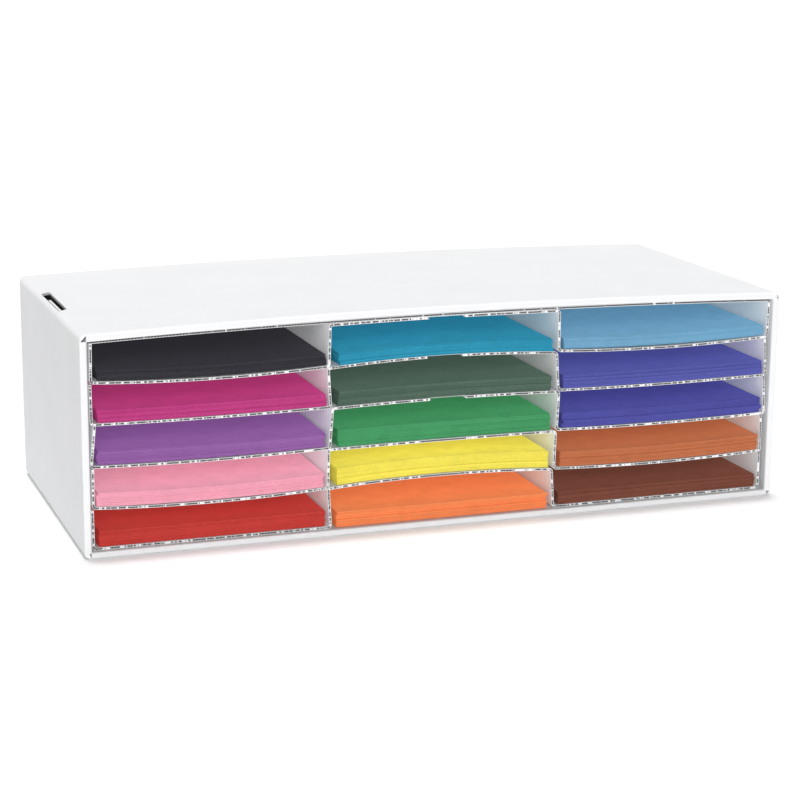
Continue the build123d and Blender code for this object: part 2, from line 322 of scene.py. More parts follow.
class StageSettings(bpy.types.PropertyGroup):
    """Floor and lights."""

    floor: bpy.props.FloatVectorProperty(
        name="Floor colour", description="Colour of the floor and backdrop",
        default=(0.98, 0.98, 0.98), size=3, min=0.0, max=1.0, subtype="COLOR",
    )
    sky: bpy.props.FloatProperty(
        name="Fill light", description="Strength of the even light from all round",
        default=0.10, min=0.0, max=5.0,
    )
    key: bpy.props.FloatProperty(
        name="Front light", description="Strength of the broad soft light from the front left",
        default=0.71, min=0.0, max=10.0,
    )
    key_height: bpy.props.FloatProperty(
        name="Front light height", description="Angle of the front light above the floor",
        default=math.radians(14), min=0.0, max=math.pi / 2, subtype="ANGLE", unit="ROTATION",
    )
    overhead: bpy.props.FloatProperty(
        name="Top light", description="Strength of the soft light from above",
        default=0.74, min=0.0, max=10.0,
    )
    slots: bpy.props.FloatProperty(
        name="Slot light", description="Strength of the light from above that reaches into the slots",
        default=0.42, min=0.0, max=10.0,
    )
    left: bpy.props.FloatProperty(
        name="Left light", description="Strength of the light from the left that reaches into the slots",
        default=0.14, min=0.0, max=10.0,
    )


class Flow:
    """Value that runs through a node tree; sums with it add Math nodes."""

    def __init__(self, net, socket):
        self.net = net
        self.socket = socket

    def other(self, name):
        """Another output of the same node."""
        return Flow(self.net, find_socket(self.socket.node.outputs, name))

    def math(self, operation, *values):
        return self.net.node("ShaderNodeMath", {"operation": operation}, dict(enumerate((self, *values))))

    def __add__(self, other):
        return self.math("ADD", other)

    __radd__ = __add__

    def __sub__(self, other):
        return self.math("SUBTRACT", other)

    def __rsub__(self, other):
        return self.net.node("ShaderNodeMath", {"operation": "SUBTRACT"}, {0: other, 1: self})

    def __mul__(self, other):
        return self.math("MULTIPLY", other)

    __rmul__ = __mul__

    def __truediv__(self, other):
        return self.math("DIVIDE", other)

    def sine(self):
        return self.math("SINE")

    def floor(self):
        return self.math("FLOOR")

    def above(self, level):
        """One where the value is above a level, zero elsewhere."""
        return self.math("GREATER_THAN", level)


def find_socket(sockets, key):
    """Socket by place, name or identifier; of several with one name, the one in use."""
    if isinstance(key, int):
        return sockets[key]
    for socket in sockets:
        if socket.name == key and socket.enabled:
            return socket
    for socket in sockets:
        if socket.identifier == key:
            return socket
    raise KeyError(f"no socket {key!r} among {[s.name for s in sockets]}")


class Net:
    """Node tree that is being built."""

    def __init__(self, tree):
        self.tree = tree

    def node(self, kind, settings=None, sockets=None, output=0):
        """Adds a node, sets it up, feeds its sockets, and gives one of its outputs."""
        made = self.tree.nodes.new(kind)
        for name, value in (settings or {}).items():
            setattr(made, name, value)
        for key, value in (sockets or {}).items():
            self.feed(find_socket(made.inputs, key), value)
        return Flow(self, find_socket(made.outputs, output)) if made.outputs else made

    def feed(self, socket, value):
        """Links a flow, or each flow of a list, to a socket, or sets the socket's own value."""
        if isinstance(value, list):
            for flow in value:
                self.tree.links.new(flow.socket, socket)
        elif isinstance(value, Flow):
            self.tree.links.new(value.socket, socket)
        elif socket.type == "RGBA" and len(value) == 3:
            socket.default_value = (*value, 1.0)
        else:
            socket.default_value = value

    def vector(self, operation, *values, output=0):
        """Vector Math on flows or plain vectors."""
        settings = {"operation": operation}
        if operation == "SCALE":
            sockets = {0: values[0], "Scale": values[1]}
        else:
            sockets = dict(enumerate(values))
        return self.node("ShaderNodeVectorMath", settings, sockets, output)

    def combine(self, x=0.0, y=0.0, z=0.0):
        return self.node("ShaderNodeCombineXYZ", None, {"X": x, "Y": y, "Z": z})

    def blend_colours(self, share, first, second):
        """Mix of two colours."""
        settings = {"data_type": "RGBA", "blend_type": "MIX"}
        sockets = {"Factor_Float": share, "A_Color": first, "B_Color": second}
        return self.node("ShaderNodeMix", settings, sockets, "Result_Color")

    def noise(self, place, scale, detail=2.0, roughness=0.5):
        """Soft noise of the given scale, round one half."""
        sockets = {"Vector": place, "Scale": scale, "Detail": detail, "Roughness": roughness}
        return self.node("ShaderNodeTexNoise", None, sockets, "Fac")

    def spread(self, value, low, high, first=0.0, last=1.0):
        """Stretches the part of a value between low and high over first to last."""
        sockets = {"Value": value, "From Min": low, "From Max": high, "To Min": first, "To Max": last}
        return self.node("ShaderNodeMapRange", {"clamp": True}, sockets, "Result")


class Finish(Net):
    """Material that is being built, round one Principled shader."""

    def __init__(self, name):
        self.material = bpy.data.materials.new(name)
        self.material.use_nodes = True
        super().__init__(self.material.node_tree)
        self.tree.nodes.clear()
        self.object_place = self.node("ShaderNodeTexCoord", None, None, "Object")

    def attribute(self, name, output="Fac"):
        """Value that the piece's mesh carries."""
        return self.node("ShaderNodeAttribute", {"attribute_name": name}, None, output)

    def stretched(self, x, y, z):
        """Object coordinates scaled along each axis."""
        return self.vector("MULTIPLY", self.object_place, (x, y, z))

    def within(self, low, high):
        """One inside a block of the object's space, zero outside it."""
        above = self.vector("SUBTRACT", self.object_place, low)
        below = self.vector("SUBTRACT", high, self.object_place)
        least = self.node("ShaderNodeSeparateXYZ", None, {0: self.vector("MINIMUM", above, below)}, "X")
        return least.above(0.0) * least.other("Y").above(0.0) * least.other("Z").above(0.0)

    def close(self, sockets, relief=None, relief_depth=0.0):
        """Principled shader with an optional bump, linked to the output."""
        sockets = dict(sockets)
        if relief is not None:
            bump = {"Height": relief, "Distance": relief_depth, "Strength": 1.0}
            sockets["Normal"] = self.node("ShaderNodeBump", None, bump, "Normal")
        shader = self.node("ShaderNodeBsdfPrincipled", None, sockets, "BSDF")
        self.node("ShaderNodeOutputMaterial", None, {"Surface": shader})
        return self.material


class Growth(Net):
    """Geometry Nodes tree that is being built."""

    def __init__(self, name, inputs):
        tree = bpy.data.node_groups.new(name, "GeometryNodeTree")
        super().__init__(tree)
        tree.interface.new_socket("Geometry", in_out="INPUT", socket_type="NodeSocketGeometry")
        for label, kind in inputs.items():
            tree.interface.new_socket(label, in_out="INPUT", socket_type=kind)
        tree.interface.new_socket("Geometry", in_out="OUTPUT", socket_type="NodeSocketGeometry")
        self.given = self.node("NodeGroupInput")

    def input(self, name):
        return self.given.other(name)

    def close(self, geometry):
        self.node("NodeGroupOutput", None, {"Geometry": geometry})
        return self.tree

    def sweep(self, line, width, height):
        """Closed bar of a rectangular section swept along a line that lies in the XZ plane."""
        facing = self.node(
            "GeometryNodeSetCurveNormal", {"mode": "FREE"}, {"Curve": line, "Normal": (0.0, 1.0, 0.0)}
        )
        section = self.node(
            "GeometryNodeCurvePrimitiveQuadrilateral", {"mode": "RECTANGLE"},
            {"Width": width, "Height": height},
        )
        sockets = {"Curve": facing, "Profile Curve": section, "Fill Caps": True}
        return self.node("GeometryNodeCurveToMesh", None, sockets)


class Arch:
    """Shallow arc between two fold lines of equal height, as in the CAD model."""

    def __init__(self, start, end, level, rise):
        self.level = level
        self.rise = rise
        self.start = start
        self.end = end
        self.middle = (start + end) / 2
        self.side = math.copysign(1.0, rise)
        half = (end - start) / 2
        self.radius = (half**2 + rise**2) / (2 * abs(rise)) if rise else math.inf

    def height(self, x, above=0.0):
        """Z at x of the line that runs the given distance above the arc."""
        if not self.rise:
            return self.level + above
        radius = self.radius + self.side * above
        centre = self.level + self.rise - self.side * self.radius
        return centre + self.side * math.sqrt(radius**2 - (x - self.middle) ** 2)

    def points(self, start, end, parts, above=0.0):
        """Evenly spaced points of the line that runs the given distance above the arc."""
        places = [start + (end - start) * n / parts for n in range(parts + 1)]
        return [(x, self.height(x, above)) for x in places]


def wall_feet(row):
    """X of the centre of the four walls of a strip at their feet; rows are counted from 0 at the top."""
    near = MIDDLE_PITCH / 2
    far = near + SIDE_PITCH
    return [even + foot * MM for even, foot in zip((-far, -near, near, far), STRIPS[row]["feet"])]


def wall_tops(row):
    """X of the centre of the four walls of a strip at the height of its ceiling."""
    return [foot + lean * MM for foot, lean in zip(wall_feet(row), STRIPS[row]["lean"])]


def seat_drop(row):
    """How far a strip's feet sink below the crown of the next strip before their round folds touch."""
    reach = 2 * FOLD_OUTSIDE + SEAT_GAP
    drops = []
    for wall, floor, side in ((1, 0, 1), (2, 2, -1)):
        crown, trough = STRIPS[row + 1]["rise"][1] * MM, STRIPS[row]["rise"][floor] * MM
        slope = 4 * crown / MIDDLE_PITCH - 4 * trough / SIDE_PITCH
        aside = side * (wall_tops(row + 1)[wall] - wall_feet(row)[wall])
        across = min(max(aside + 2 * FOLD_OUTSIDE - BOARD, 0.0), reach)
        drops.append(2 * FOLD_OUTSIDE - math.sqrt(reach**2 - across**2) - FOLD_OUTSIDE * slope)
    return min(*drops, BOARD)


def strip_height(row):
    """Height of a strip from the underside of its floors to the top of its ceiling at the folds."""
    return STRIP_HEIGHT + STRIPS[row]["extra"] * MM


def strip_bottom(row):
    """Z of the underside of the strip in a row."""
    if row == ROWS - 1:
        return RIM_BOTTOM + SEAT_GAP
    return strip_bottom(row + 1) + strip_height(row + 1) - seat_drop(row)


def wall_end(row):
    """Z at which the two outer walls of a strip end."""
    if row == 0:
        return strip_bottom(0) + strip_height(0) - TOP_WALL_SHORT
    return strip_bottom(row - 1) - WALL_GAP


def floor_arch(row, column):
    """Centre line of the floor of a strip in the left or right column."""
    feet = wall_feet(row)
    start, end, rise = (feet[0], feet[1], 0) if column == "left" else (feet[2], feet[3], 2)
    return Arch(start, end, strip_bottom(row) + BOARD / 2, STRIPS[row]["rise"][rise] * MM)


def ceiling_arch(row):
    """Centre line of the ceiling of a strip, which spans the middle column."""
    tops = wall_tops(row)
    level = strip_bottom(row) + strip_height(row) - BOARD / 2
    return Arch(tops[1], tops[2], level, STRIPS[row]["rise"][1] * MM)


def shelf_arch(row, column):
    """Centre line of what the paper in a slot lies on."""
    if column != "middle":
        return floor_arch(row, column)
    if row < ROWS - 1:
        return ceiling_arch(row + 1)
    feet = wall_feet(row)
    return Arch(feet[1], feet[2], RIM_BOTTOM - BOARD / 2, 0.0)


def paper_arch(row, column):
    """Line that the paper in a slot follows, which bridges some of the sag of its floor."""
    shelf = shelf_arch(row, column)
    share = PAPER_SAG if shelf.rise < 0 else 1.0
    return Arch(shelf.start, shelf.end, shelf.level, shelf.rise * share)


def column_middle(column):
    """X of the middle of a column."""
    side = {"left": -1, "middle": 0, "right": 1}[column]
    return side * (MIDDLE_PITCH + SIDE_PITCH) / 2


def room_beside(row, column, thickness, middle):
    """Least room between the paper in a slot and the walls on its two sides."""
    first = {"left": 0, "middle": 1, "right": 2}[column]
    feet, tops = wall_feet(row), wall_tops(row)
    half = SHEET_WIDTH / 2 + BOARD / 2
    share = thickness / STRIP_HEIGHT
    rooms = []
    for wall, side in ((first, -1), (first + 1, 1)):
        for place in (feet[wall], feet[wall] + (tops[wall] - feet[wall]) * share):
            rooms.append(side * (place - middle) - half)
    return min(rooms)


def rounded(points, radius):
    """Line through points in X and Z, with an arc in place of every sharp corner."""
    line = [Vector(points[0])]
    for before, corner, after in zip(points, points[1:], points[2:]):
        corner = Vector(corner)
        back = (Vector(before) - corner).normalized()
        ahead = (Vector(after) - corner).normalized()
        opening = back.angle(ahead)
        if opening > math.radians(150):
            line.append(corner)
            continue
        reach = radius / math.tan(opening / 2)
        inward = (back + ahead).normalized()
        centre = corner + inward * (radius / math.sin(opening / 2))
        first = corner + back * reach - centre
        last = corner + ahead * reach - centre
        turn = first.angle_signed(last)
        for n in range(FOLD_PARTS + 1):
            line.append(centre + Matrix.Rotation(-turn * n / FOLD_PARTS, 2) @ first)
    line.append(Vector(points[-1]))
    return line


def strip_line(row):
    """Centre line of a strip: wall, floor, wall, ceiling, wall, floor, wall."""
    feet = wall_feet(row)
    tops = wall_tops(row)
    free = wall_end(row)
    points = [(tops[0], free)]
    points += floor_arch(row, "left").points(feet[0], feet[1], SHELF_PARTS)
    points += ceiling_arch(row).points(tops[1], tops[2], SHELF_PARTS)
    points += floor_arch(row, "right").points(feet[2], feet[3], SHELF_PARTS)
    points += [(tops[3], free)]
    return rounded(points, FOLD_RADIUS + BOARD / 2)


def line_mesh(name, line):
    """Mesh of the edges along a line in X and Z."""
    mesh = bpy.data.meshes.new(name)
    vertices = [(x, 0.0, z) for x, z in line]
    edges = [(n, n + 1) for n in range(len(vertices) - 1)]
    mesh.from_pydata(vertices, edges, [])
    return mesh


def grown(name, mesh, tree, values, crease=math.radians(35)):
    """Object whose plain mesh is what a tree makes of a starting mesh."""
    piece = bpy.data.objects.new(name, mesh)
    bpy.context.scene.collection.objects.link(piece)
    modifier = piece.modifiers.new("Growth", "NODES")
    modifier.node_group = tree
    left = dict(values)
    for item in tree.interface.items_tree:
        if item.item_type == "SOCKET" and item.in_out == "INPUT" and item.name in left:
            modifier[item.identifier] = left.pop(item.name)
    if left:
        raise KeyError(f"{tree.name} has no inputs {sorted(left)}")
    depsgraph = bpy.context.evaluated_depsgraph_get()
    result = bpy.data.meshes.new_from_object(piece.evaluated_get(depsgraph), depsgraph=depsgraph)
    piece.modifiers.remove(modifier)
    piece.data = result
    result.name = name
    bpy.data.meshes.remove(mesh)
    if not result.polygons:
        raise RuntimeError(f"{name} came out empty")
    result.shade_smooth()
    result.set_sharp_from_angle(angle=crease)
    return piece


def board_finish(name, board):
    """White coated liner: faint ribs, soft mottling, a few fibres, and painted shade inside the lock slot.
    """
    finish = Finish(name)
    clouds = finish.noise(finish.object_place, 14.0, 3.0)
    fibres = finish.noise(finish.stretched(900.0, 260.0, 900.0), 1.0, 2.0)
    grain = finish.noise(finish.object_place, 1500.0, 1.0)
    ribs = (finish.attribute("along") * (2 * math.pi)).sine()
    white = tuple(board.white)
    shade = tuple(c * 0.97 for c in white)
    colour = finish.blend_colours(finish.spread(clouds, 0.35, 0.75, 0.0, 0.5), white, shade)
    grey = tuple(c * 0.80 for c in white)
    colour = finish.blend_colours(finish.spread(fibres, 0.70, 0.85, 0.0, 0.6), colour, grey)
    # painted shade inside the lock slot, where the real slot lies in shade
    colour = finish.blend_colours(finish.within(LOCK_LOW, LOCK_HIGH), colour, LOCK_PAINTED_SHADE)
    relief = ribs * 0.35 + grain * 0.3 + fibres * 0.3
    sockets = {
        "Base Color": colour,
        "Roughness": finish.spread(clouds, 0.3, 0.7, 0.50, 0.62),
        "Specular IOR Level": 0.15,
    }
    return finish.close(sockets, relief, 0.03 * MM)


def flute_finish(name, board):
    """Waved sheet inside the board: greyer than the liners, with painted shade behind the cut edges."""
    finish = Finish(name)
    fibres = finish.noise(finish.stretched(700.0, 150.0, 700.0), 1.0, 2.0)
    grey = tuple(board.flute_colour)
    dark = tuple(c * 0.7 for c in grey)
    colour = finish.blend_colours(finish.spread(fibres, 0.35, 0.7), grey, dark)
    low = (-1.0, STRIP_FRONT + FLUTE_LIT_DEPTH, -1.0)
    high = (1.0, STRIP_BACK - FLUTE_LIT_DEPTH, 1.0)
    # painted shade on the flutes behind the cut edges, where little light reaches
    colour = finish.blend_colours(finish.within(low, high), colour, tuple(c * FLUTE_SHADE_SHARE for c in grey))
    sockets = {"Base Color": colour, "Roughness": 0.8, "Specular IOR Level": 0.2}
    return finish.close(sockets, fibres, 0.03 * MM)


def paper_finish(name, colour):
    """Construction paper: fibrous, matt, with flecks, and each sheet a little off in tone."""
    finish = Finish(name)
    cut = finish.attribute("cut")
    tone = finish.attribute("tone")
    clouds = finish.noise(finish.object_place, 60.0, 4.0, 0.6)
    fibres = finish.noise(finish.stretched(1100.0, 700.0, 1100.0), 1.0, 3.0, 0.6)
    flecks = finish.noise(finish.stretched(420.0, 900.0, 2600.0), 1.0, 1.0)
    light = tuple(min(1.0, c * 1.22 + 0.012) for c in colour)
    dark = tuple(c * 0.80 for c in colour)
    shade = finish.blend_colours(finish.spread(clouds, 0.3, 0.7, 0.0, 0.6), tuple(colour), dark)
    shade = finish.blend_colours(finish.spread(fibres, 0.45, 0.8, 0.0, 0.5), shade, light)
    shade = finish.blend_colours(finish.spread(tone, 0.55, 1.0, 0.0, 0.6) * cut, shade, dark)
    shade = finish.blend_colours(finish.spread(tone, 0.0, 0.25, 0.5, 0.0) * cut, shade, light)
    pale = tuple(min(1.0, c * 1.35 + 0.05) for c in colour)
    shade = finish.blend_colours(finish.spread(flecks, 0.56, 0.78, 0.0, 0.6) * cut, shade, pale)
    relief = fibres * 0.6 + clouds * 0.4
    sockets = {"Base Color": shade, "Roughness": 0.95, "Specular IOR Level": 0.12}
    return finish.close(sockets, relief, 0.05 * MM)


def fluted_board_tree():
    """Board that follows a line: liners, waved sheet, lips where its edges are crushed, and a notch."""
    sizes = ["Board", "Liner", "Medium", "Pitch", "Depth", "Crush", "Lip", "Notch Width", "Notch Depth"]
    inputs = {name: "NodeSocketFloat" for name in sizes}
    inputs |= {"Notch Place": "NodeSocketVector", "Seed": "NodeSocketInt"}
    inputs |= {"Liner Finish": "NodeSocketMaterial", "Flute Finish": "NodeSocketMaterial"}
    growth = Growth("Fluted Board", inputs)
    board, liner = growth.input("Board"), growth.input("Liner")
    medium, pitch = growth.input("Medium"), growth.input("Pitch")
    depth = growth.input("Depth")
    line = growth.node("GeometryNodeMeshToCurve", None, {"Mesh": growth.input("Geometry")})
    tangent = growth.node("GeometryNodeInputTangent")
    side = growth.vector("CROSS_PRODUCT", tangent, (0.0, 1.0, 0.0))
    along = growth.node("GeometryNodeSplineParameter", None, None, "Length")
    reach = (board - liner) * 0.5
    layers = []
    for direction in (1.0, -1.0):
        marked = growth.node(
            "GeometryNodeStoreNamedAttribute", {"data_type": "FLOAT", "domain": "POINT"},
            {"Geometry": line, "Name": "along", "Value": along / pitch},
        )
        offset = growth.vector("SCALE", side, reach * direction)
        moved = growth.node("GeometryNodeSetPosition", None, {"Geometry": marked, "Offset": offset})
        layers.append(growth.sweep(moved, depth, liner))
    fine = growth.node(
        "GeometryNodeResampleCurve", {"mode": "LENGTH"},
        {"Curve": line, "Length": pitch / 10.0},
    )
    wander = growth.node(
        "ShaderNodeTexNoise", {"noise_dimensions": "4D"},
        {"W": growth.input("Seed"), "Scale": FLUTE_WANDER_SCALE, "Detail": 2.0}, "Fac",
    )
    height = (board - 2.0 * liner - medium) * 0.5 + FLUTE_BITE
    wave = (along / pitch * (2 * math.pi) + wander * FLUTE_WANDER).sine()
    offset = growth.vector("SCALE", side, wave * height)
    waved = growth.node("GeometryNodeSetPosition", None, {"Geometry": fine, "Offset": offset})
    blots = growth.node(
        "ShaderNodeTexNoise", {"noise_dimensions": "4D"},
        {"W": growth.input("Seed") + 0.5, "Scale": CRUSH_SCALE, "Detail": 3.0, "Roughness": 0.7}, "Fac",
    )
    from_notch = growth.vector(
        "SUBTRACT", growth.node("GeometryNodeInputPosition"), growth.input("Notch Place")
    )
    across = growth.vector("MULTIPLY", from_notch, (1.0, 0.0, 1.0))
    far = growth.vector("LENGTH", across, output="Value").above(growth.input("Notch Width") * 0.5)
    crushed = blots.above(CRUSH_LEVEL - CRUSH_REACH * growth.input("Crush")) * far
    edges = growth.node("GeometryNodeCurveToMesh", None, {"Curve": fine})
    kept = growth.node(
        "GeometryNodeDeleteGeometry", {"domain": "EDGE", "mode": "ALL"},
        {"Geometry": edges, "Selection": 1.0 - crushed},
    )
    stretches = growth.node("GeometryNodeMeshToCurve", None, {"Mesh": kept})
    lips = growth.sweep(stretches, depth + growth.input("Lip"), board - LIP_THINNER)
    flutes = growth.node(
        "GeometryNodeStoreNamedAttribute", {"data_type": "FLOAT", "domain": "FACE"},
        {"Geometry": growth.sweep(waved, depth, medium), "Name": "inside", "Value": 1.0},
    )
    joined = growth.node("GeometryNodeJoinGeometry", None, {"Geometry": [*layers, flutes]})
    notch_size = growth.combine(growth.input("Notch Width"), growth.input("Notch Depth") * 2.0, board * 8.0)
    block = growth.node("GeometryNodeMeshCube", None, {"Size": notch_size})
    placed = growth.node(
        "GeometryNodeTransform", None, {"Geometry": block, "Translation": growth.input("Notch Place")}
    )
    cut = growth.node(
        "GeometryNodeMeshBoolean", {"operation": "DIFFERENCE", "solver": "EXACT"},
        {"Mesh 1": joined, "Mesh 2": [placed], "Self Intersection": True},
    )
    whole = growth.node("GeometryNodeJoinGeometry", None, {"Geometry": [cut, lips]})
    real = growth.node("GeometryNodeRealizeInstances", None, {"Geometry": whole})
    inside = growth.node(
        "GeometryNodeInputNamedAttribute", {"data_type": "FLOAT"}, {"Name": "inside"}, "Attribute"
    )
    coated = growth.node(
        "GeometryNodeSetMaterial", None,
        {"Geometry": real, "Selection": 1.0 - inside, "Material": growth.input("Liner Finish")},
    )
    return growth.close(growth.node(
        "GeometryNodeSetMaterial", None,
        {"Geometry": coated, "Selection": inside.above(0.5), "Material": growth.input("Flute Finish")},
    ))


def paper_stack_tree():
    """Loose sheets over the line of a shelf, in bundles that have slipped apart, and a lifted top."""
    sizes = ["Sheet", "Length", "Spacing", "Gap", "Scatter", "Slip", "Turn", "Lean"]
    inputs = {name: "NodeSocketFloat" for name in sizes}
    inputs |= {"Sheets": "NodeSocketInt", "Bundles": "NodeSocketInt", "Seed": "NodeSocketInt"}
    inputs |= {"Lowest": "NodeSocketVector", "Finish": "NodeSocketMaterial"}
    growth = Growth("Paper Stack", inputs)
    line = growth.node("GeometryNodeMeshToCurve", None, {"Mesh": growth.input("Geometry")})
    sheet = growth.sweep(line, growth.input("Length"), growth.input("Sheet"))
    facing = growth.node("ShaderNodeSeparateXYZ", None, {0: growth.node("GeometryNodeInputNormal")}, "Z")
    sheet = growth.node(
        "GeometryNodeStoreNamedAttribute", {"data_type": "FLOAT", "domain": "FACE"},
        {"Geometry": sheet, "Name": "cut", "Value": 1.0 - facing.math("ABSOLUTE").above(0.5)},
    )
    count = growth.input("Sheets")
    rise = growth.combine(z=growth.input("Spacing"))
    places = growth.node(
        "GeometryNodeMeshLine", {"mode": "OFFSET"},
        {"Count": count, "Start Location": growth.input("Lowest"), "Offset": rise},
    )
    number = growth.node("GeometryNodeInputIndex")
    bundle = (number * growth.input("Bundles") / count).floor()
    seed = growth.input("Seed")

    def random_vector(key, extra):
        return growth.node(
            "FunctionNodeRandomValue", {"data_type": "FLOAT_VECTOR"},
            {"Min": (-0.6, -1.0, 0.0), "Max": (0.6, 1.0, 0.0), "ID": key, "Seed": seed + extra},
        )

    slip = growth.vector("SCALE", random_vector(bundle, 1.0), growth.input("Slip"))
    scatter = growth.vector("SCALE", random_vector(number, 2.0), growth.input("Scatter"))
    lifted = number.above(count - 2.5) * growth.input("Gap")
    lean = growth.combine(x=(number / count - 0.5) * growth.input("Lean"), z=lifted)
    offset = growth.vector("ADD", growth.vector("ADD", slip, scatter), lean)
    moved = growth.node("GeometryNodeSetPosition", None, {"Geometry": places, "Offset": offset})
    turned = growth.node(
        "FunctionNodeRandomValue", {"data_type": "FLOAT"},
        {"Min": -1.0, "Max": 1.0, "ID": number, "Seed": seed + 3.0}, "Value_001",
    )
    copies = growth.node(
        "GeometryNodeInstanceOnPoints", None,
        {"Points": moved, "Instance": sheet, "Rotation": growth.combine(z=turned * growth.input("Turn"))},
    )
    tone = growth.node(
        "FunctionNodeRandomValue", {"data_type": "FLOAT"},
        {"Min": 0.0, "Max": 1.0, "ID": number, "Seed": seed + 4.0}, "Value_001",
    )
    toned = growth.node(
        "GeometryNodeStoreNamedAttribute", {"data_type": "FLOAT", "domain": "INSTANCE"},
        {"Geometry": copies, "Name": "tone", "Value": tone},
    )
    real = growth.node("GeometryNodeRealizeInstances", None, {"Geometry": toned})
    return growth.close(growth.node(
        "GeometryNodeSetMaterial", None, {"Geometry": real, "Material": growth.input("Finish")}
    ))


def shared_tree(name, maker):
    """Node tree by name, made once."""
    return bpy.data.node_groups.get(name) or maker()


def shared_finish(slot, maker, *values):
    """Material of a slot, made once, beside the plain one of the frame."""
    name = f"{slot}_finish"
    return bpy.data.materials.get(name) or maker(name, *values)


def hand_over(piece, body, slot, *nodes):
    """Lets a piece ride on its body and stand for its CAD nodes."""
    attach(piece, body)
    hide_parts(*nodes)


class SORTER_OT_shell(bpy.types.Operator):
    """Finish the outer shell"""

    bl_idname = "sorter.shell"
    bl_label = "Outer Shell"

    def execute(self, context):
        shell = frame["nodes"]["outer_shell"]
        shell.data.materials.clear()
        shell.data.materials.append(shared_finish("white_board", board_finish, context.scene.sorter_board))
        return {"FINISHED"}


class SORTER_OT_strips(bpy.types.Operator):
    """Fold the five strips of fluted board that make the slots"""

    bl_idname = "sorter.strips"
    bl_label = "Shelf Strips"

    def execute(self, context):
        board = context.scene.sorter_board
        tree = shared_tree("Fluted Board", fluted_board_tree)
        for row in range(ROWS):
            ceiling = ceiling_arch(row)
            edge = STRIP_FRONT if row < NOTCHED_IN_FRONT else STRIP_BACK
            values = {
                "Board": BOARD,
                "Liner": board.liner,
                "Medium": board.medium,
                "Pitch": board.flute_pitch,
                "Depth": STRIP_DEPTH,
                "Crush": board.crush,
                "Lip": board.lip,
                "Notch Width": NOTCH_WIDTH,
                "Notch Depth": NOTCH_DEPTH,
                "Notch Place": (ceiling.middle, edge, ceiling.level),
                "Seed": row + 1,
                "Liner Finish": shared_finish("white_board", board_finish, board),
                "Flute Finish": shared_finish("flute", flute_finish, board),
            }
            name = f"fluted_strip_{row + 1}"
            piece = grown(name, line_mesh(name, strip_line(row)), tree, values)
            hand_over(piece, "cabinet", "white_board", f"shelf_strip_{row + 1}")
        return {"FINISHED"}


class SORTER_OT_top_liner(bpy.types.Operator):
    """Lay the flat sheet of fluted board, which has no notch, over the top strip"""

    bl_idname = "sorter.top_liner"
    bl_label = "Top Liner"

    def execute(self, context):
        board = context.scene.sorter_board
        tree = shared_tree("Fluted Board", fluted_board_tree)
        low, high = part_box("top_liner")
        rise = (high.z - low.z) - BOARD
        arch = Arch(low.x, high.x, low.z + BOARD / 2, rise)
        clear_above = high.z + 1.0
        values = {
            "Board": BOARD,
            "Liner": board.liner,
            "Medium": board.medium,
            "Pitch": board.flute_pitch,
            "Depth": high.y - low.y,
            "Crush": 0.0,
            "Lip": board.lip,
            "Notch Width": NOTCH_WIDTH,
            "Notch Depth": NOTCH_DEPTH,
            "Notch Place": (0.0, STRIP_FRONT, clear_above),
            "Seed": ROWS + 1,
            "Liner Finish": shared_finish("white_board", board_finish, board),
            "Flute Finish": shared_finish("flute", flute_finish, board),
        }
        line = [Vector(p) for p in arch.points(low.x, high.x, LINER_PARTS)]
        piece = grown("fluted_top_liner", line_mesh("fluted_top_liner", line), tree, values)
        hand_over(piece, "cabinet", "white_board", "top_liner")
        return {"FINISHED"}


class SORTER_OT_paper(bpy.types.Operator):
    """Fill the fifteen slots with loose coloured sheets"""

    bl_idname = "sorter.paper"
    bl_label = "Paper Stacks"

    def execute(self, context):
        paper = context.scene.sorter_paper
        tree = shared_tree("Paper Stack", paper_stack_tree)
        for column, stacks in PAPER.items():
            for row, (finish, thickness, aside, setback, bundles, lean) in enumerate(stacks):
                shelf = paper_arch(row, column)
                middle = column_middle(column) + aside * MM
                room = room_beside(row, column, thickness * MM, middle)
                slip = min(paper.slip, room - paper.scatter - abs(lean) * MM / 2)
                lowest = BOARD / 2 + PAPER_GAP + paper.sheet / 2
                half = SHEET_WIDTH / 2
                base = shelf.height(middle)
                line = shelf.points(middle - half, middle + half, PAPER_PARTS, lowest)
                line = [Vector((x - middle, z - base)) for x, z in line]
                name = f"sheets_{column}_{row + 1}"
                values = {
                    "Sheet": paper.sheet,
                    "Length": SHEET_LENGTH,
                    "Spacing": paper.spacing,
                    "Gap": paper.gap if finish in LIFTED else 0.0,
                    "Scatter": paper.scatter,
                    "Slip": max(slip, 0.0),
                    "Turn": paper.turn,
                    "Lean": lean * MM,
                    "Sheets": round(thickness * MM / paper.spacing),
                    "Bundles": bundles,
                    "Seed": 10 * row + 100 * list(PAPER).index(column),
                    "Lowest": (middle, STRIP_FRONT + setback * MM + SHEET_LENGTH / 2, base),
                    "Finish": shared_finish(finish, paper_finish, getattr(paper, finish)),
                }
                piece = grown(name, line_mesh(name, line), tree, values)
                hand_over(piece, f"paper_{column}_{row + 1}", finish, f"paper_stack_{column}_{row + 1}")
        return {"FINISHED"}


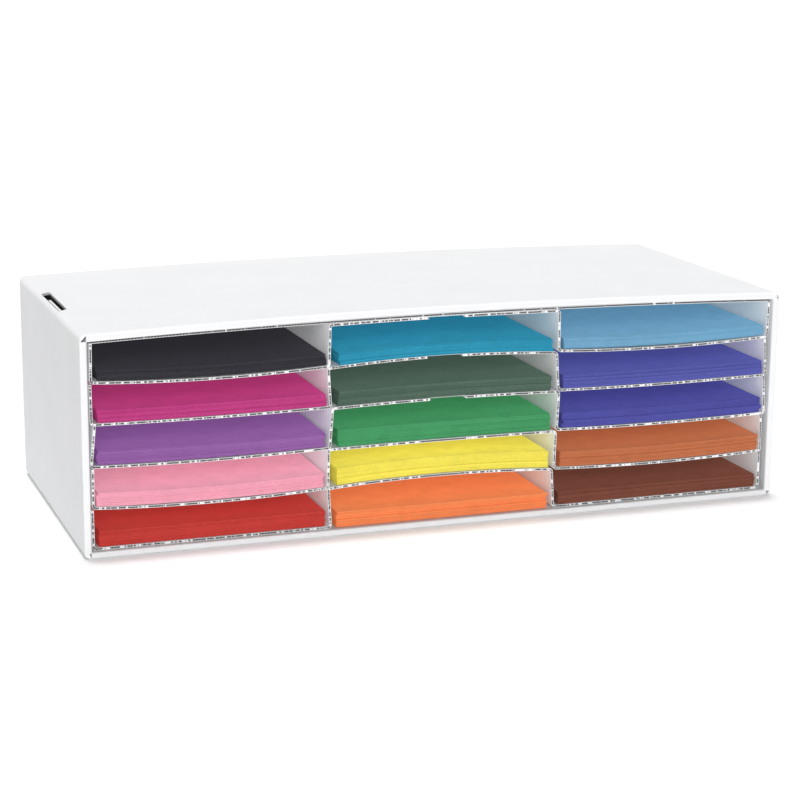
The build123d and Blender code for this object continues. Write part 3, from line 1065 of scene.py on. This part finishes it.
class SORTER_OT_stage(bpy.types.Operator):
    """Set up the floor, the lights and the camera"""

    bl_idname = "sorter.stage"
    bl_label = "Stage"

    def execute(self, context):
        stage = context.scene.sorter_stage
        self.lay_floor(context, stage)
        self.hang_lights(context, stage)
        self.place_camera(context)
        context.scene.view_settings.view_transform = "Standard"
        context.scene.view_settings.look = "None"
        return {"FINISHED"}

    def lay_floor(self, context, stage):
        """Pale floor that rises behind into a backdrop."""
        start = BACKDROP_PLACE - BACKDROP_RADIUS
        line = [(FLOOR_FRONT, 0.0), (start, 0.0)]
        for n in range(1, BACKDROP_PARTS + 1):
            turn = math.pi / 2 * n / BACKDROP_PARTS
            rise = BACKDROP_RADIUS - BACKDROP_RADIUS * math.cos(turn)
            line.append((start + BACKDROP_RADIUS * math.sin(turn), rise))
        line.append((BACKDROP_PLACE, BACKDROP_HEIGHT))
        vertices = [(x, y, z) for y, z in line for x in (-FLOOR_HALF_WIDTH, FLOOR_HALF_WIDTH)]
        faces = [(2 * n, 2 * n + 1, 2 * n + 3, 2 * n + 2) for n in range(len(line) - 1)]
        mesh = bpy.data.meshes.new("floor")
        mesh.from_pydata(vertices, [], faces)
        mesh.shade_smooth()
        floor = bpy.data.objects.new("floor", mesh)
        context.scene.collection.objects.link(floor)
        finish = Finish("floor")
        grain = finish.noise(finish.object_place, 3.0, 2.0)
        pale = tuple(stage.floor)
        colour = finish.blend_colours(finish.spread(grain, 0.3, 0.7), pale, tuple(c * 0.985 for c in pale))
        finish.close({
            "Base Color": colour, "Roughness": 0.9, "Specular IOR Level": 0.1,
            "Emission Color": (1.0, 1.0, 1.0, 1.0), "Emission Strength": FLOOR_GLOW,
        })
        mesh.materials.append(finish.material)

    def hang_lights(self, context, stage):
        """Even fill from all round, two lights on everything, and two that reach into the slots."""
        world = bpy.data.worlds.new("studio")
        context.scene.world = world
        world.use_nodes = True
        net = Net(world.node_tree)
        world.node_tree.nodes.clear()
        sky = net.node("ShaderNodeBackground", None, {"Color": (1.0, 1.0, 1.0, 1.0), "Strength": stage.sky})
        net.node("ShaderNodeOutputWorld", None, {"Surface": sky})
        lift = stage.key_height
        level = math.cos(lift)
        key_from = Vector((-math.sin(KEY_SIDE) * level, -math.cos(KEY_SIDE) * level, math.sin(lift)))
        self.hang_light(context, "front_light", key_from, KEY_BREADTH, stage.key)
        over_from = Vector((0.0, math.sin(OVERHEAD_BACK), math.cos(OVERHEAD_BACK)))
        self.hang_light(context, "top_light", over_from, OVERHEAD_BREADTH, stage.overhead)
        self.hang_light(context, "slot_light", over_from, SLOT_BREADTH, stage.slots, "sheets_")
        left_from = Vector((-math.cos(LEFT_LIFT), -LEFT_FORWARD, math.sin(LEFT_LIFT))).normalized()
        self.hang_light(context, "left_light", left_from, SLOT_BREADTH, stage.left, "fluted_")

    def hang_light(self, context, name, source, breadth, strength, only=None):
        """Far, broad light from a direction; one for certain pieces casts no shadows on them."""
        lamp = bpy.data.lights.new(name, "SUN")
        lamp.angle = breadth
        lamp.energy = strength * math.pi
        lamp.use_shadow = only is None
        light = bpy.data.objects.new(name, lamp)
        light.rotation_euler = source.to_track_quat("Z", "Y").to_euler()
        light.location = source * LIGHT_DISTANCE
        context.scene.collection.objects.link(light)
        if only is not None:
            lit = bpy.data.collections.new(name)
            for piece in context.scene.objects:
                if piece.name.startswith(only):
                    lit.objects.link(piece)
            light.light_linking.receiver_collection = lit

    def place_camera(self, context):
        """Camera that frames the sorter as the photograph does."""
        lens = bpy.data.cameras.new("camera")
        lens.sensor_width = SENSOR
        lens.lens = FOCAL_PIXELS * SENSOR / IMAGE_SIDE
        lens.shift_x = (IMAGE_SIDE / 2 - OPTICAL_CENTRE[0]) / IMAGE_SIDE
        lens.shift_y = (OPTICAL_CENTRE[1] - IMAGE_SIDE / 2) / IMAGE_SIDE
        lens.clip_start = 0.05
        lens.clip_end = 60.0
        turn = Matrix.Rotation(-CAMERA_AZIMUTH, 3, "Z")
        turn = turn @ Matrix.Rotation(math.pi / 2 - CAMERA_TILT, 3, "X")
        turn = turn @ Matrix.Rotation(CAMERA_ROLL, 3, "Z")
        camera = bpy.data.objects.new("camera", lens)
        camera.location = CAMERA_PLACE
        camera.rotation_euler = turn.to_euler()
        context.scene.collection.objects.link(camera)
        context.scene.camera = camera


class SORTER_PT_panel(bpy.types.Panel):
    """Settings and steps of the paper sorter"""

    bl_idname = "SORTER_PT_panel"
    bl_label = "Paper Sorter"
    bl_space_type = "VIEW_3D"
    bl_region_type = "UI"
    bl_category = "Paper Sorter"

    def draw(self, context):
        scene = context.scene
        for label, settings in (
            ("Board", scene.sorter_board), ("Paper", scene.sorter_paper), ("Stage", scene.sorter_stage),
        ):
            box = self.layout.box()
            box.label(text=label)
            for name in settings.__annotations__:
                box.prop(settings, name)
        for step in STEPS:
            self.layout.operator(step.bl_idname)


STEPS = [SORTER_OT_shell, SORTER_OT_strips, SORTER_OT_top_liner, SORTER_OT_paper, SORTER_OT_stage]
SETTINGS = {"sorter_board": BoardSettings, "sorter_paper": PaperSettings, "sorter_stage": StageSettings}


def register():
    for kind in (*SETTINGS.values(), *STEPS, SORTER_PT_panel):
        bpy.utils.register_class(kind)
    for name, kind in SETTINGS.items():
        setattr(bpy.types.Scene, name, bpy.props.PointerProperty(type=kind))


def unregister():
    for name in SETTINGS:
        delattr(bpy.types.Scene, name)
    for kind in (SORTER_PT_panel, *reversed(STEPS), *reversed(list(SETTINGS.values()))):
        bpy.utils.unregister_class(kind)


def main():
    """Builds everything."""
    register()
    bpy.ops.sorter.shell()
    bpy.ops.sorter.strips()
    bpy.ops.sorter.top_liner()
    bpy.ops.sorter.paper()
    bpy.ops.sorter.stage()


if __name__ == "__main__":
    main()
